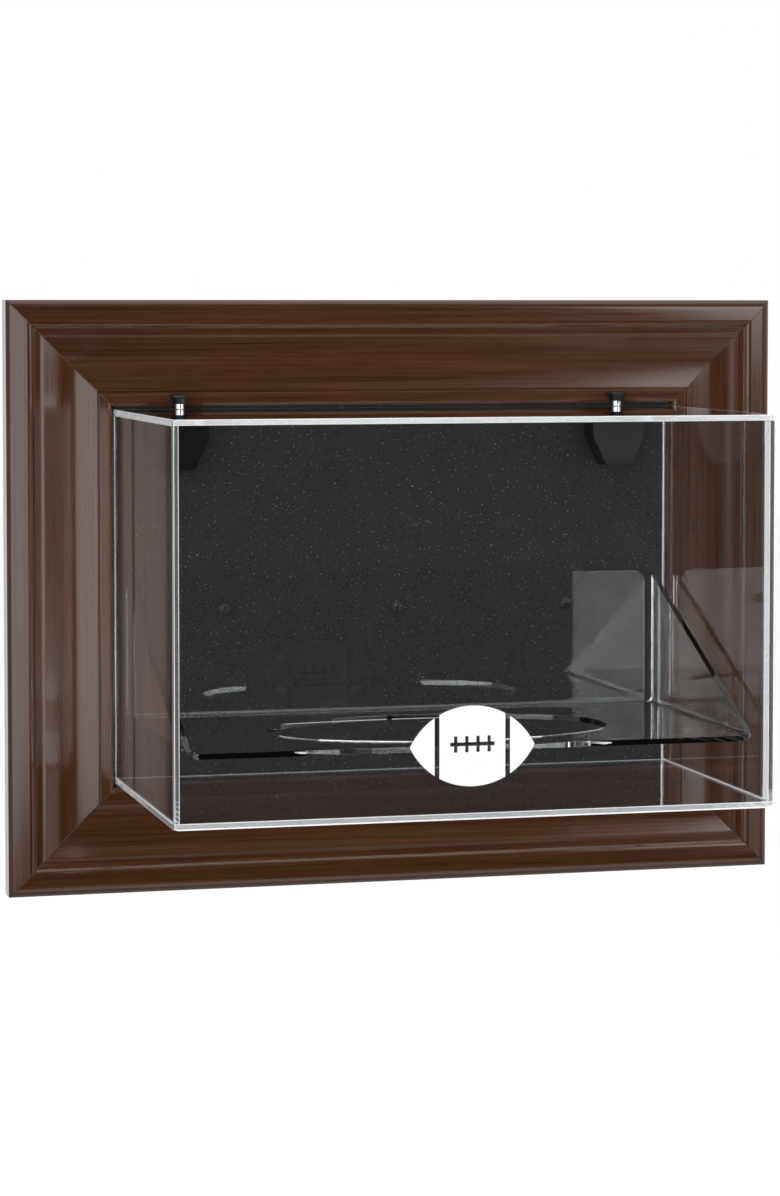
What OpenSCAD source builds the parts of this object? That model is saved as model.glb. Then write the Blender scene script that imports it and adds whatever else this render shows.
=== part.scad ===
// Wall-hung display case for a football: a mitred wood frame round a suede
// panel, with a clear five-sheet cover clamped on by two thumbscrews.
// The origin is on the wall, at the middle of the top rail's back face.
// +Z is up, and the case stands out from the wall towards -Y.

/* [Frame] */
// Width of the wood frame over its outer edges
frame_w = 444.5; // [440:0.5:520]
// Height of the wood frame over its outer edges
frame_h = 330.2; // [328:0.1:400]
// Width of the moulding's face
rail_w = 59.1; // [57:0.1:59.3]
// Thickness of the moulding at its outer edge
edge_t = 13.5; // [11:0.1:15]
// Height of the moulding's outer hump above the wall
hump_h = 17; // [16:0.1:19]
// Height of the moulding's inner bead above the wall
bead_h = 15.5; // [14:0.1:15.6]

/* [Backing] */
// Distance from the wall to the front of the suede panel
suede_front = 9; // [8:0.1:10]
// Thickness of the backing board
board_t = 5; // [3:0.1:5.5]
// Thickness of the suede-covered sheet
suede_t = 1; // [0.8:0.1:1.2]

/* [Cover] */
// Outer width of the clear cover
cover_w = 323.6; // [318:0.1:325]
// Outer height of the clear cover
cover_h = 208.7; // [206:0.1:210]
// Depth of the clear cover, front to back
cover_d = 176.7; // [170:0.1:190]
// Thickness of the cover's clear sheet
sheet_t = 3.2; // [3:0.1:4]
// Radius of the cover's long polished edges
cover_edge_r = 2; // [1:0.1:2.5]

/* [Ball shelf] */
// Outer width of the shelf over its side cheeks
shelf_w = 307; // [296:1:308]
// Depth of the shelf from the suede to its front edge
shelf_d = 167; // [150:1:169]
// Height of the shelf's back plate and of its cheeks at the back
shelf_h = 76; // [60:1:80]
// Thickness of the shelf's clear sheet
shelf_t = 3; // [2.5:0.1:3.2]
// Length of the oval hole that the ball sits in
hole_l = 188; // [160:1:200]
// Width of the oval hole
hole_w = 116; // [100:1:118]

/* [Clamp] */
// Distance between the two thumbscrews
screw_pitch = 254; // [240:1:256]
// Distance from the suede to a thumbscrew's axis
screw_reach = 12.5; // [12.3:0.1:13.5]
// Diameter across a knob's wide top
knob_d = 11; // [10:0.1:11]
// Width of a bracket at its top
bracket_w = 31; // [28:0.5:31]
// Height of a bracket
bracket_h = 30; // [28:0.5:32]
// Depth of a bracket
bracket_d = 17; // [16.8:0.1:18]

/* [Hanging] */
// Distance between the two keyhole plates
hanger_pitch = 304.8; // [280:0.1:310]
// Diameter of a keyhole's round entry
key_d = 9; // [8:0.1:10]
// Width of a keyhole's narrow slot
key_slot = 4.6; // [4.2:0.1:5]

/* [Hidden] */

// Heights, measured from the origin
top_z = 25;
mid_z = top_z - frame_h / 2;
cover_top = top_z - 60.6;
cover_mid = cover_top - cover_h / 2;
shelf_z = top_z - 231.5;

// Moulding profile
rebate_w = 8;
bead_w = 7.6;
groove_w = 1.1;
groove_depth = 0.9;
step_w = 4.5;
crest_w = 11.6;
slant = 1.1;
hump_w = 14.6;
hump_end = 15.8;

// Cover and its clearances
cover_gap = 0.3;
clamp_gap = 0.2;
cover_back = suede_front + cover_gap;
cover_front = cover_back + cover_d;
notch_r = 2.4;
emblem_t = 0.2;
emblem_w = 67;
emblem_x = -5;

// Thumbscrew
stud_r = 2;
collar_r = 2.8;
collar_h = 3;
knob_h = 5;
knob_foot_r = 3.75;
stud_in_knob = 3;
stud_below = 11;
screw_y = suede_front + screw_reach;
insert_r = 3;
insert_h = 9;
insert_bore_r = 2.05;
stud_well_r = 2.4;
stud_well_h = 16;

// Fasteners
wood_screw_r = 1.5;
point_t = 0.6;
board_back = suede_front - suede_t - board_t;
v_nail_depth = 7;
plate_t = 1.6;
plate_w = 14;
plate_l = 38;
plate_screw_z = 14.5;
key_drop = 5;
key_rise = 8;
pocket_depth = 8;
bend_r = 3;

$fn = 48;

// ---------- shared shapes ----------

// Upright slab: an outline drawn in X and Z, from depth y0 to depth y1 off the wall
module slab(y0, y1) {
    translate([0, -y0, 0]) rotate([90, 0, 0]) linear_extrude(y1 - y0) children();
}

// Round bar square to the wall, from depth y0 to depth y1
module wall_bar(x, z, r, y0, y1) {
    slab(y0, y1) translate([x, z]) circle(r);
}

// Oblong with round ends, upright, from z0 to z1 between the centres of its ends
module oblong(r, z0, z1) {
    translate([0, z0]) circle(r);
    translate([0, z1]) circle(r);
    translate([-r, z0]) square([2 * r, z1 - z0]);
}

// Rectangle with round corners, centred
module round_rect(w, h, r) {
    square([w - 2 * r, h], center = true);
    square([w, h - 2 * r], center = true);
    for (sx = [-1, 1], sz = [-1, 1]) translate([sx * (w / 2 - r), sz * (h / 2 - r)]) circle(r);
}

// Sheet folded to a right angle: one leg along x, one along y, the fold at the origin
module folded(leg_x, leg_y, t, r) {
    o = r + t;
    translate([o, o]) intersection() {
        difference() { circle(o); circle(r); }
        translate([-o, -o]) square(o);
    }
    translate([o, 0]) square([leg_x - o, t]);
    translate([0, o]) square([t, leg_y - o]);
}

// Oval of four arcs: end arcs of radius r, side arcs that meet them smoothly
module oval(l, w, r) {
    a = l / 2;
    b = w / 2;
    side_r = (pow(a - r, 2) + b * b - r * r) / (2 * (b - r));
    meet_x = (a - r) * side_r / (side_r - r);
    for (s = [-1, 1]) translate([s * (a - r), 0]) circle(r, $fn = 96);
    intersection() {
        translate([0, b - side_r]) circle(side_r, $fn = 192);
        translate([0, side_r - b]) circle(side_r, $fn = 192);
        square([2 * meet_x, w], center = true);
    }
}

// ---------- frame ----------

// Points along an arc of an ellipse, in n steps
function arc_pts(cx, cy, rx, ry, a0, a1, n) =
    [for (i = [0:n]) let (a = a0 + (a1 - a0) * i / n) [cx + rx * cos(a), cy + ry * sin(a)]];

// Cross-section of the moulding: x is the distance in from the outer edge, y the height off the wall
module moulding() {
    last = 75;
    bulge = hump_h - edge_t - slant;
    rise = [for (i = [0:14]) let (u = pow(1 - i / 14, 1.3))
        [crest_w * (1 - u), hump_h - slant * u - bulge * pow(u, 5)]];
    fall = [for (a = [12.5:12.5:last]) [crest_w + (hump_w - crest_w) * sin(a) / sin(last),
        hump_h - (hump_h - hump_end) * (1 - cos(a)) / (1 - cos(last))]];
    step_in = hump_w + step_w;
    field_in = rail_w - bead_w - groove_w;
    dish = 2.4;
    cove = [for (i = [0:16]) let (t = i / 16)
        [step_in + 1.6 + (field_in - step_in - 1.6) * t, bead_h - dish * sin(180 * t)]];
    bead_r = 3;
    bead = arc_pts(rail_w - bead_r, bead_h - bead_r, bead_r, bead_r, 90, 0, 10);
    polygon(concat(
        [[0, 0]], rise, fall,
        [[hump_w + 0.8, hump_h - 1.9], [step_in, hump_h - 2.4]], cove,
        [[field_in + 0.3, bead_h - groove_depth], [field_in + groove_w - 0.3, bead_h - groove_depth],
         [field_in + groove_w, bead_h]],
        bead,
        [[rail_w, suede_front], [rail_w - rebate_w, suede_front], [rail_w - rebate_w, 0]]
    ));
}

// One mitred length, its outer edge along X at z = 0 and its face down from there
module mitred_rail(len) {
    reach = rail_w + 1;
    intersection() {
        mirror([0, 1, 0]) rotate([0, 90, 0]) linear_extrude(len, center = true) moulding();
        slab(-1, 20) polygon([[-len / 2, 0], [len / 2, 0], [len / 2 - reach, -reach],
                              [reach - len / 2, -reach]]);
    }
}

// Places of the glazier points: [x, z, turn], the turn taking +Z to the rail they are driven into
function point_places() = concat(
    [for (x = [-110, 0, 110]) [x, top_z - rail_w + rebate_w, 0]],
    [for (x = [-110, 0, 110]) [x, top_z - frame_h + rail_w - rebate_w, 180]],
    [for (z = [-60, 0, 60]) [frame_w / 2 - rail_w + rebate_w, mid_z + z, 90]],
    [for (z = [-60, 0, 60]) [rail_w - rebate_w - frame_w / 2, mid_z + z, -90]]
);

module points() {
    for (p = point_places()) translate([p[0], 0, p[1]]) rotate([0, p[2], 0])
        slab(board_back - point_t, board_back) square([9, 13], center = true);
}

module v_nails() {
    for (sx = [-1, 1], sz = [-1, 1], w = [17, 40])
        translate([sx * (frame_w / 2 - w), 0, mid_z + sz * (frame_h / 2 - w)])
            rotate([0, sx * sz * 45 + (sz < 0 ? 180 : 0), 0])
                slab(0, v_nail_depth)
                    polygon([[-4, 0], [0, 4], [4, 0], [4, -1.1], [0, 2.9], [-4, -1.1]]);
}

module keyhole_pocket() {
    oblong(plate_w / 2 - 1.5, -key_drop, key_rise);
}

// Everything that is cut out of the wood
module frame_cuts() {
    points();
    v_nails();
    for (s = [-1, 1]) translate([s * hanger_pitch / 2, 0, 0]) {
        slab(-1, plate_t) oblong(plate_w / 2, plate_w / 2 - plate_l / 2, plate_l / 2 - plate_w / 2);
        slab(plate_t - 0.1, pocket_depth) keyhole_pocket();
        for (z = [-1, 1]) wall_bar(0, z * plate_screw_z, wood_screw_r, 0, 11);
    }
}

module wood() { color([0.29, 0.18, 0.14]) children(); }

module top_rail() {
    wood() difference() {
        translate([0, 0, top_z]) mitred_rail(frame_w);
        frame_cuts();
    }
}

module bottom_rail() {
    wood() difference() {
        translate([0, 0, top_z - frame_h]) mirror([0, 0, 1]) mitred_rail(frame_w);
        frame_cuts();
    }
}

module stile(side) {
    wood() difference() {
        translate([side * frame_w / 2, 0, mid_z]) rotate([0, side * 90, 0]) mitred_rail(frame_h);
        frame_cuts();
    }
}

module left_stile() { stile(-1); }
module right_stile() { stile(1); }
module corner_v_nails() { color("silver") v_nails(); }

// ---------- backing ----------

module backing_outline() {
    translate([0, mid_z])
        square([frame_w - 2 * (rail_w - rebate_w) - 1, frame_h - 2 * (rail_w - rebate_w) - 1], center = true);
}

function bracket_top() = cover_top - sheet_t - clamp_gap;
function shelf_screw_x() = [-100, 0, 100];
function shelf_screw_z() = shelf_z + shelf_h - 18;

module bracket_screw_holes(y0, y1) {
    for (s = [-1, 1], drop = [14, 23])
        wall_bar(s * screw_pitch / 2, bracket_top() - drop, wood_screw_r, y0, y1);
}

module shelf_screw_holes(y0, y1) {
    for (x = shelf_screw_x()) wall_bar(x, shelf_screw_z(), wood_screw_r, y0, y1);
}

module bracket_screw_heads() {
    for (s = [-1, 1], drop = [14, 23])
        translate([s * screw_pitch / 2, -board_back, bracket_top() - drop]) rotate([90, 0, 0])
            cylinder(h = 1.6, r1 = 3.1, r2 = wood_screw_r);
}

module backing_board() {
    color("peru") difference() {
        slab(board_back, board_back + board_t) backing_outline();
        bracket_screw_holes(board_back - 1, board_back + board_t + 1);
        bracket_screw_heads();
        shelf_screw_holes(board_back - 1, board_back + board_t + 1);
    }
}

module suede_panel() {
    color([0.13, 0.13, 0.14]) difference() {
        slab(suede_front - suede_t, suede_front) backing_outline();
        bracket_screw_holes(suede_front - 2, suede_front + 1);
        shelf_screw_holes(suede_front - 2, suede_front + 1);
    }
}

module backing_points() { color("silver") points(); }

// ---------- clamp brackets ----------

// Block that narrows to its foot, with a threaded brass insert let into its top
module bracket(side) {
    straight_h = 13.4;
    foot_w = 15;
    color([0.04, 0.04, 0.04]) difference() {
        translate([side * screw_pitch / 2, 0, bracket_top()]) slab(suede_front, suede_front + bracket_d)
            polygon([[-bracket_w / 2, 0], [bracket_w / 2, 0], [bracket_w / 2, -straight_h],
                     [foot_w / 2, -bracket_h], [-foot_w / 2, -bracket_h], [-bracket_w / 2, -straight_h]]);
        translate([side * screw_pitch / 2, -screw_y, bracket_top() - insert_h])
            cylinder(h = insert_h + 1, r = insert_r);
        translate([side * screw_pitch / 2, -screw_y, bracket_top() - stud_well_h])
            cylinder(h = stud_well_h, r = stud_well_r);
        bracket_screw_holes(suede_front - 1, suede_front + 8);
    }
}

module left_bracket() { bracket(-1); }
module right_bracket() { bracket(1); }

module insert(side) {
    color("gold") translate([side * screw_pitch / 2, -screw_y, bracket_top() - insert_h]) difference() {
        cylinder(h = insert_h, r = insert_r);
        translate([0, 0, -1]) cylinder(h = insert_h + 2, r = insert_bore_r);
    }
}

module left_insert() { insert(-1); }
module right_insert() { insert(1); }

module bracket_screws() {
    color("silver") {
        bracket_screw_holes(board_back, suede_front + 8);
        bracket_screw_heads();
    }
}

// ---------- ball shelf ----------

// One clear sheet folded up at the back and at both sides, its cheeks sawn off on a slope
module ball_shelf() {
    fold = bend_r + shelf_t;
    inner_w = shelf_w - 2 * fold;
    corner_r = 7;
    color([0.85, 0.9, 0.92, 0.35]) difference() {
        union() {
            translate([-inner_w / 2, -suede_front, shelf_z - shelf_t]) mirror([0, 1, 0])
                rotate([90, 0, 90]) linear_extrude(inner_w)
                    folded(shelf_d, shelf_h + shelf_t, shelf_t, bend_r);
            intersection() {
                slab(suede_front + fold, suede_front + shelf_d) translate([0, shelf_z - shelf_t])
                    for (s = [0, 1]) mirror([s, 0])
                        translate([-shelf_w / 2, 0]) folded(shelf_w / 2, shelf_h + shelf_t, shelf_t, bend_r);
                cheek_mask();
                shelf_plan(corner_r);
            }
        }
        translate([0, -suede_front - shelf_d / 2 - 6, shelf_z - shelf_t - 1])
            linear_extrude(shelf_t + 2) oval(hole_l, hole_w, 44);
        back_plate_corners(corner_r, inner_w);
        for (x = shelf_screw_x())
            wall_bar(x, shelf_screw_z(), wood_screw_r + 0.3, suede_front - 1, suede_front + shelf_t + 1);
    }
}

// Side view of what is kept of the cheeks: all below the slope from the front edge to the back plate's top
module cheek_mask() {
    back = suede_front;
    front = suede_front + shelf_d;
    translate([-shelf_w / 2 - 1, 0, 0]) mirror([0, 1, 0]) rotate([90, 0, 90]) linear_extrude(shelf_w + 2)
        polygon([[back, shelf_z - shelf_t - 1], [front + 1, shelf_z - shelf_t - 1],
                 [front + 1, shelf_z + 0.6], [front - 4, shelf_z + 0.6], [back, shelf_z + shelf_h]]);
}

// Plan view of the shelf, its two front corners rounded
module shelf_plan(r) {
    translate([0, -suede_front - shelf_d / 2, shelf_z - shelf_t - 1]) linear_extrude(shelf_h + 20) {
        round_rect(shelf_w, shelf_d, r);
        translate([-shelf_w / 2, 0]) square([shelf_w, shelf_d / 2]);
    }
}

// What is cut off the back plate's top corners to round them
module back_plate_corners(r, w) {
    for (s = [-1, 1]) slab(suede_front - 1, suede_front + shelf_t + 0.5)
        translate([s * (w / 2 - r), shelf_z + shelf_h - r]) difference() {
            translate([s * r, r]) square(2 * r, center = true);
            circle(r);
        }
}

module shelf_screws() {
    color("silver") {
        shelf_screw_holes(board_back + 0.5, suede_front + shelf_t);
        for (x = shelf_screw_x()) translate([x, -suede_front - shelf_t, shelf_screw_z()]) rotate([90, 0, 0])
            difference() {
                rotate_extrude() intersection() {
                    translate([0, -2.4]) circle(4.5);
                    square([3.2, 3]);
                }
                for (a = [0, 90]) rotate([0, 0, a]) translate([-1.7, -0.35, 1.1]) cube([3.4, 0.7, 2]);
            }
    }
}

// ---------- hanging hardware ----------

module keyhole_plate(side) {
    color("silver") translate([side * hanger_pitch / 2, 0, 0]) difference() {
        slab(0, plate_t) oblong(plate_w / 2, plate_w / 2 - plate_l / 2, plate_l / 2 - plate_w / 2);
        wall_bar(0, -key_drop, key_d / 2, -1, plate_t + 1);
        slab(-1, plate_t + 1) oblong(key_slot / 2, -key_drop, key_rise);
        for (z = [-1, 1]) hanger_screw(z * plate_screw_z);
    }
}

module left_keyhole_plate() { keyhole_plate(-1); }
module right_keyhole_plate() { keyhole_plate(1); }

// Countersunk wood screw, its head flush with the wall side of the plate
module hanger_screw(z) {
    translate([0, 0, z]) rotate([90, 0, 0]) {
        cylinder(h = 1.4, r1 = 2.9, r2 = wood_screw_r);
        cylinder(h = 11, r = wood_screw_r);
    }
}

module hanger_screws() {
    color("gray") for (s = [-1, 1], z = [-1, 1])
        translate([s * hanger_pitch / 2, 0, 0]) hanger_screw(z * plate_screw_z);
}

// ---------- clear cover ----------

module clear() { color([0.85, 0.9, 0.92, 0.3]) children(); }

module cover_outline() { translate([0, cover_mid]) round_rect(cover_w, cover_h, cover_edge_r); }

// The front sheet closes the other four, and the top and bottom sheets close the side sheets
module cover_front_panel() {
    clear() slab(cover_front - sheet_t, cover_front) cover_outline();
}

module lid_sheet(z0) {
    slab(cover_back, cover_front - sheet_t) intersection() {
        cover_outline();
        translate([-cover_w / 2, z0]) square([cover_w, sheet_t]);
    }
}

// Slots open to the back edge let the top sheet leave the studs without taking them out
module cover_top_panel() {
    clear() difference() {
        lid_sheet(cover_top - sheet_t);
        for (s = [-1, 1]) translate([s * screw_pitch / 2, -screw_y, cover_top - sheet_t - 1]) {
            cylinder(h = sheet_t + 2, r = notch_r);
            translate([-notch_r, 0, 0]) cube([2 * notch_r, screw_y, sheet_t + 2]);
        }
    }
}

module cover_bottom_panel() {
    clear() lid_sheet(cover_top - cover_h);
}

module side_sheet(side) {
    clear() slab(cover_back, cover_front - sheet_t)
        translate([side * (cover_w / 2 - sheet_t / 2), cover_mid])
            square([sheet_t, cover_h - 2 * sheet_t], center = true);
}

module cover_left_panel() { side_sheet(-1); }
module cover_right_panel() { side_sheet(1); }

// Plain ball pictogram printed on the front sheet: a pointed oval with laces and two end bands
module front_emblem() {
    half_l = emblem_w / 2;
    half_h = 21;
    arc_r = (half_l * half_l + half_h * half_h) / (2 * half_h);
    band_x = 19;
    emblem_z = cover_top - cover_h + 38.5;
    color("white") translate([emblem_x, 0, emblem_z]) slab(cover_front, cover_front + emblem_t)
        difference() {
            intersection() {
                translate([0, half_h - arc_r]) circle(arc_r, $fn = 180);
                translate([0, arc_r - half_h]) circle(arc_r, $fn = 180);
            }
            for (s = [-1, 1]) translate([s * band_x, 0]) square([2.6, 60], center = true);
            translate([0, 1]) square([24, 2], center = true);
            for (x = [-9:6:9]) translate([x, 1]) square([1.8, 8.4], center = true);
        }
}

// ---------- thumbscrews ----------

module collar(side) {
    color("white") translate([side * screw_pitch / 2, -screw_y, cover_top + clamp_gap]) difference() {
        cylinder(h = collar_h, r = collar_r);
        translate([0, 0, -1]) cylinder(h = collar_h + 2, r = insert_bore_r);
    }
}

module left_collar() { collar(-1); }
module right_collar() { collar(1); }

// Knob that widens to its top, with a rounded rim and shallow grip flutes
module knob(side) {
    top_r = knob_d / 2;
    rim = 0.8;
    foot_z = cover_top + clamp_gap + collar_h + 0.1;
    color([0.05, 0.05, 0.06]) translate([side * screw_pitch / 2, -screw_y, foot_z]) difference() {
        rotate_extrude() polygon([[0, 0], [knob_foot_r, 0], [top_r - 0.5, knob_h - 2 * rim - 0.4],
            [top_r, knob_h - 2 * rim], [top_r, knob_h - rim], [top_r - 0.3, knob_h - 0.25],
            [top_r - rim, knob_h], [2.6, knob_h], [2.2, knob_h - 0.5], [0, knob_h - 0.5]]);
        translate([0, 0, -1]) cylinder(h = stud_in_knob + 1, r = stud_r);
        for (a = [0:30:330])
            rotate([0, 0, a]) translate([top_r + 0.9, 0, -1]) cylinder(h = knob_h + 2, r = 1.3);
    }
}

module stud(side) {
    foot_z = cover_top - sheet_t - stud_below;
    head_z = cover_top + clamp_gap + collar_h + 0.1 + stud_in_knob;
    color("silver") translate([side * screw_pitch / 2, -screw_y, foot_z]) {
        translate([0, 0, 0.6]) cylinder(h = head_z - foot_z - 0.6, r = stud_r);
        cylinder(h = 0.6, r1 = stud_r - 0.6, r2 = stud_r);
    }
}

module left_knob() { knob(-1); }
module left_stud() { stud(-1); }
module right_knob() { knob(1); }
module right_stud() { stud(1); }

top_rail();
bottom_rail();
left_stile();
right_stile();
corner_v_nails();
backing_board();
suede_panel();
backing_points();
left_bracket();
right_bracket();
bracket_screws();
left_insert();
right_insert();
ball_shelf();
shelf_screws();
left_keyhole_plate();
right_keyhole_plate();
hanger_screws();
cover_front_panel();
cover_top_panel();
cover_bottom_panel();
cover_left_panel();
cover_right_panel();
front_emblem();
left_collar();
right_collar();
left_knob();
left_stud();
right_knob();
right_stud();
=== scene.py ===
"""Looks of a wall-hung display case for a football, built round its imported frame.

The case is a mitred wood frame round a suede panel, a clear five-sheet cover that two
thumbscrews clamp on, and a clear folded shelf that the ball sits in. Everything is in
metres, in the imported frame's own axes: +X to the viewer's right, +Y into the wall, +Z up.
"""

import logging
import math
from collections.abc import Sequence
from dataclasses import dataclass, field
from enum import Enum

import bmesh
import bpy
import numpy as np
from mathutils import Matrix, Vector


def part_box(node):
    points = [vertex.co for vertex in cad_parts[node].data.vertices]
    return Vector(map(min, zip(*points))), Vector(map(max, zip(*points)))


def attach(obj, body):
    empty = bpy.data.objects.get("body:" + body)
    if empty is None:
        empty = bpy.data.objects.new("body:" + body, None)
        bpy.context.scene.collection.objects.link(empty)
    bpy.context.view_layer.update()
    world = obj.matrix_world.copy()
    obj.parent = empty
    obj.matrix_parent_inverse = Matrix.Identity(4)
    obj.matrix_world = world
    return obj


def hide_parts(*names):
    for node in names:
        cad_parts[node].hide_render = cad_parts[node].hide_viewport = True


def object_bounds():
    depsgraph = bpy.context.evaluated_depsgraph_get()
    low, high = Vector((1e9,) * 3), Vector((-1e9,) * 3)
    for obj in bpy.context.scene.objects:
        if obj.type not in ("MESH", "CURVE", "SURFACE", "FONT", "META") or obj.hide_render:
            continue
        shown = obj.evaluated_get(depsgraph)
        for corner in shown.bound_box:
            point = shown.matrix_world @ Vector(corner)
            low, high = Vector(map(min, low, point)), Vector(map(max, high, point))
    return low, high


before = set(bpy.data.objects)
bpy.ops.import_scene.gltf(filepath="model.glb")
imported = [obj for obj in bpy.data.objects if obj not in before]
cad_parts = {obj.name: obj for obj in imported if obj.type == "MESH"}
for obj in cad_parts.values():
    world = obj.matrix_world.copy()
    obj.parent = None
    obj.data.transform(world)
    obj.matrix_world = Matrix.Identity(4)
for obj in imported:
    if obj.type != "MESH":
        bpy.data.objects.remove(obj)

log = logging.getLogger("display_case")

MM = 0.001
CAD_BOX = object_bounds()

Array = np.ndarray
Colour = tuple[float, float, float]
Material = bpy.types.Material
Piece = bpy.types.Object
Socket = bpy.types.NodeSocket


# ---------------------------------------------------------------- shapes


class Plane(Enum):
    """Which way a flat piece faces: the axes that its outline and its thickness use."""

    WALL = "outline in X and Z, thickness out from the wall"
    LEVEL = "outline in X and Y, thickness upwards"
    SIDE = "outline in Y and Z, thickness to the right"

    def place(self, u: Array, v: Array, w: Array) -> Array:
        """Puts outline coordinates u, v and thickness w into the frame's axes.

        Args:
            u: first outline coordinate.
            v: second outline coordinate.
            w: distance through the thickness.

        Returns:
            The points, with x, y and z along the last axis.
        """
        u, v, w = np.broadcast_arrays(u, v, w)
        order = {
            Plane.WALL: (u, -w, v),
            Plane.LEVEL: (u, v, w),
            Plane.SIDE: (w, u, v),
        }
        return np.stack(order[self], axis=-1)


def unit(vectors: Array) -> Array:
    """Vectors scaled to length 1 along their last axis."""
    return vectors / np.maximum(np.linalg.norm(vectors, axis=-1, keepdims=True), 1e-12)


def rounded(corners: Sequence[tuple[float, float]], radii: float | Array, steps: int = 6) -> Array:
    """A closed polygon with an arc in place of each corner.

    At a corner whose unit directions to its neighbours are a and b, with the angle w
    between them, the arc of radius r touches the two sides at r / tan(w / 2) from the
    corner, and its centre lies r / sin(w / 2) from it along a + b. The arc's points
    turn evenly from one touching point to the other.

    Args:
        corners: the polygon's corners, anticlockwise.
        radii: one radius, or one for each corner.
        steps: how many sides each arc has.

    Returns:
        The outline's points, one row each.
    """
    p = np.asarray(corners, float)
    r = np.broadcast_to(np.asarray(radii, float), len(p))[:, None]
    a = unit(np.roll(p, 1, axis=0) - p)
    b = unit(np.roll(p, -1, axis=0) - p)
    half = np.arccos(np.clip((a * b).sum(1, keepdims=True), -1, 1)) / 2
    centre = p + unit(a + b) * r / np.sin(half)
    start = unit(p + a * r / np.tan(half) - centre)
    end = unit(p + b * r / np.tan(half) - centre)
    sweep = (np.pi - 2 * half)[:, None]
    t = np.linspace(0, 1, steps + 1)[None, :, None]
    turn = np.sin((1 - t) * sweep) * start[:, None] + np.sin(t * sweep) * end[:, None]
    return (centre[:, None] + r[:, None] * turn / np.sin(sweep)).reshape(-1, 2)


def inset(outline: Array, depth: Array) -> Array:
    """Parallel copies of a closed anticlockwise outline, moved inwards.

    Each point moves along the mean of its two sides' normals, by the depth over the
    cosine of half the turn between them, so that every side moves by the depth itself.

    Args:
        outline: the points, one row each.
        depth: how far in each copy lies.

    Returns:
        An array of copies by points by two.
    """
    along = unit(np.roll(outline, -1, axis=0) - outline)
    out = np.stack([along[:, 1], -along[:, 0]], axis=1)
    before = np.roll(out, 1, axis=0)
    mean = unit(out + before)
    reach = 1 / np.maximum((mean * out).sum(1, keepdims=True), 0.2)
    return outline[None] - (mean * reach)[None] * np.asarray(depth)[:, None, None]


def put_mesh(name: str, points: Array, faces: list[tuple[int, ...]]) -> Piece:
    """A new object at the origin with this mesh.

    Args:
        name: the object's name.
        points: the vertices, one row each.
        faces: the faces, as rows of vertex numbers.

    Returns:
        The object, linked to the scene.
    """
    mesh = bpy.data.meshes.new(name)
    mesh.from_pydata(points.reshape(-1, 3).tolist(), [], faces)
    mesh.validate()
    mesh.update()
    piece = bpy.data.objects.new(name, mesh)
    bpy.context.scene.collection.objects.link(piece)
    return piece


def skin(name: str, rings: Array, closed: bool = False) -> Piece:
    """A closed solid whose skin is a grid: rings of points, each joined to the next.

    Point i of ring k is joined to point i + 1 and to ring k + 1, and the last point of a
    ring to its first. The ends are shut by a flat face each, or, if closed, by joining
    the last ring to the first.

    Args:
        name: the object's name.
        rings: an array of rings by points by three.
        closed: True for a solid with a hole through it, such as a washer.

    Returns:
        The object.
    """
    count, around = rings.shape[:2]
    number = np.arange(count * around).reshape(count, around)
    above = np.roll(number, -1, axis=0) if closed else number[1:]
    below = number if closed else number[:-1]
    quads = np.stack(
        [below, np.roll(below, -1, axis=1), np.roll(above, -1, axis=1), above], axis=-1
    )
    faces = quads.reshape(-1, 4).tolist()
    if not closed:
        faces += [number[0, ::-1].tolist(), number[-1].tolist()]
    return put_mesh(name, rings, faces)


def plate(
    name: str, outline: Array, low: float, high: float, arris: float, plane: Plane, steps: int = 3
) -> Piece:
    """A flat piece with this outline, its long edges eased by a quarter round.

    The rings go up through the thickness: a quarter circle of the arris radius in from
    the lower face, the straight side, and the same again to the upper face.

    Args:
        name: the object's name.
        outline: the outline's points, anticlockwise.
        low: where the thickness starts.
        high: where it ends.
        arris: the radius of the eased edge.
        plane: which way the piece faces.
        steps: how many sides a quarter round has.

    Returns:
        The object.
    """
    turn = np.linspace(0, np.pi / 2, steps + 1)
    depth = arris * (1 - np.sin(turn))
    rise = arris * (1 - np.cos(turn))
    depth = np.concatenate([depth, depth[::-1]])
    height = np.concatenate([low + rise, high - rise[::-1]])
    rings = inset(outline, depth)
    return skin(name, plane.place(rings[..., 0], rings[..., 1], height[:, None]))


def turned(
    name: str,
    centre: tuple[float, float],
    radius: Array,
    height: Array,
    sides: int = 48,
    closed: bool = False,
) -> Piece:
    """A piece turned about an upright axis: a profile of radius and height, spun round.

    Args:
        name: the object's name.
        centre: where the axis stands, in X and Y.
        radius: the profile's radii, or an array of profile points by sides.
        height: the profile's heights, upwards along the outside, of the same shape.
        sides: how many points each ring has.
        closed: True if the profile is a closed loop, as on a ring.

    Returns:
        The object.
    """
    angle = np.arange(sides) * 2 * np.pi / sides
    r, z = (a if a.ndim == 2 else a[:, None] for a in (np.asarray(radius), np.asarray(height)))
    points = Plane.LEVEL.place(centre[0] + r * np.cos(angle), centre[1] + r * np.sin(angle), z)
    return skin(name, points, closed)


def merged_copy(node: str, name: str) -> Piece:
    """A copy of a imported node, its loose triangles merged and its flat faces made whole.

    Args:
        node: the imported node's name.
        name: the copy's name.

    Returns:
        The copy, at the origin.
    """
    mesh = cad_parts[node].data.copy()
    mesh.name = name
    mesh.materials.clear()
    work = bmesh.new()
    work.from_mesh(mesh)
    bmesh.ops.remove_doubles(work, verts=work.verts, dist=0.002 * MM)
    flat = math.radians(0.2)
    bmesh.ops.dissolve_limit(work, angle_limit=flat, verts=work.verts, edges=work.edges)
    work.to_mesh(mesh)
    work.free()
    if mesh.attributes.get("custom_normal"):
        mesh.attributes.remove(mesh.attributes["custom_normal"])
    copy = bpy.data.objects.new(name, mesh)
    bpy.context.scene.collection.objects.link(copy)
    return copy


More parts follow.
